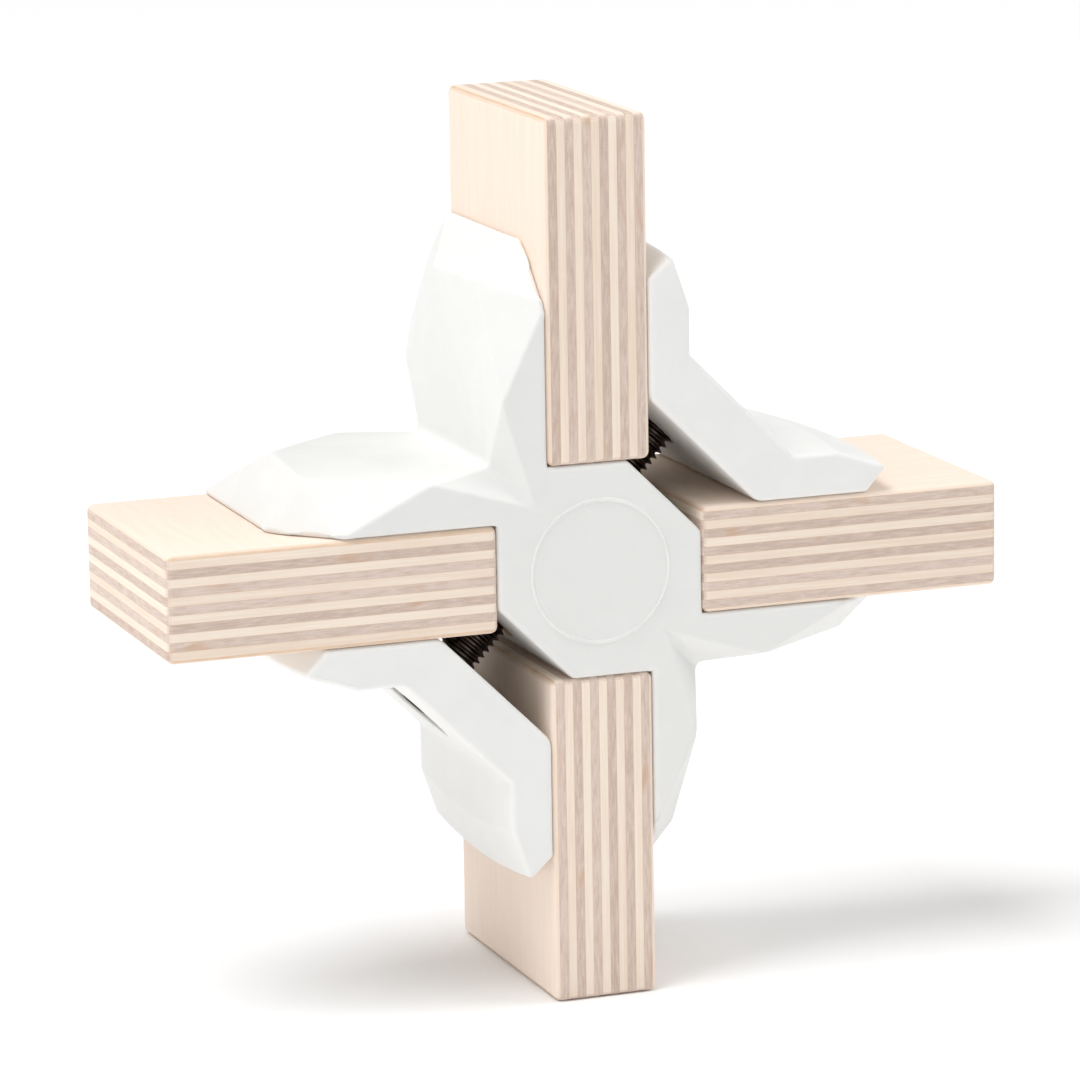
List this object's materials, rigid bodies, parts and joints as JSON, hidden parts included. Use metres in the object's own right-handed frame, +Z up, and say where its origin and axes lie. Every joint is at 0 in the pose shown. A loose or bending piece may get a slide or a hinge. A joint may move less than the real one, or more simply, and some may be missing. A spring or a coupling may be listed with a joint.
{
  "type": "four-way sheet connector",
  "caption": "Faceted white cross connector that clamps four plywood panel ends with screw-drawn jaws",
  "frame": {"origin": "centre of the bottom panel's end face, on which the part stands", "axes": "+Z up along the bottom and top panels, +X right along the right panel, +Y from the front face to the back"},
  "size_m": [0.1462, 0.047, 0.1487],
  "materials": {
    "moulded_body": "matt white, fine moulded texture",
    "moulded_jaw": "matt white, fine moulded texture",
    "insert_brass": "turned",
    "black_steel": "black oxide steel",
    "birch_face": "sanded birch face veneer, bare",
    "birch_long_grain": "ply with its grain along the panel's front edge",
    "birch_end_grain": "ply with its end grain on the panel's front edge"
  },
  "bodies": {
    "connector": {"connector_body": "moulded_body", "upper_insert": "insert_brass", "lower_insert": "insert_brass"},
    "upper_clamp": {"upper_jaw": "moulded_jaw", "upper_washer": "black_steel"},
    "lower_clamp": {"lower_jaw": "moulded_jaw", "lower_washer": "black_steel"},
    "upper_bolt": {"upper_screw": "black_steel"},
    "lower_bolt": {"lower_screw": "black_steel"},
    "top_panel": {"top_face_veneers": "birch_face", "top_cross_plies": "birch_end_grain", "top_parallel_plies": "birch_long_grain"},
    "right_panel": {"right_face_veneers": "birch_face", "right_cross_plies": "birch_end_grain", "right_parallel_plies": "birch_long_grain"},
    "bottom_panel": {"bottom_face_veneers": "birch_face", "bottom_cross_plies": "birch_end_grain", "bottom_parallel_plies": "birch_long_grain"},
    "left_panel": {"left_face_veneers": "birch_face", "left_cross_plies": "birch_long_grain", "left_parallel_plies": "birch_end_grain"}
  },
  "joints": [
    {"name": "upper_jaw_slide", "type": "slide", "parent": "connector", "child": "upper_clamp", "axis": [0.7071, 0, 0.7071], "range_m": [0, 0.0075]},
    {"name": "upper_screw_turn", "type": "hinge", "parent": "upper_clamp", "child": "upper_bolt", "pos_m": [0, 0, 0.0731], "axis": [0.7071, 0, 0.7071], "range_deg": [0, 2160]},
    {"name": "lower_jaw_slide", "type": "slide", "parent": "connector", "child": "lower_clamp", "axis": [-0.7071, 0, -0.7071], "range_m": [0, 0.0075]},
    {"name": "lower_screw_turn", "type": "hinge", "parent": "lower_clamp", "child": "lower_bolt", "pos_m": [0, 0, 0.0731], "axis": [-0.7071, 0, -0.7071], "range_deg": [0, 2160]},
    {"name": "top_panel_slide", "type": "slide", "parent": "connector", "child": "top_panel", "axis": [0, 0, 1], "range_m": [0, 0.03]},
    {"name": "right_panel_slide", "type": "slide", "parent": "connector", "child": "right_panel", "axis": [1, 0, 0], "range_m": [0, 0.03]},
    {"name": "bottom_panel_slide", "type": "slide", "parent": "connector", "child": "bottom_panel", "axis": [0, 0, -1], "range_m": [0, 0.03]},
    {"name": "left_panel_slide", "type": "slide", "parent": "connector", "child": "left_panel", "axis": [-1, 0, 0], "range_m": [0, 0.03]}
  ],
  "couplings": [
    {"joint": "upper_screw_turn", "follows": "upper_jaw_slide", "rad_per_m": 5026.5},
    {"joint": "lower_screw_turn", "follows": "lower_jaw_slide", "rad_per_m": 5026.5}
  ]
}
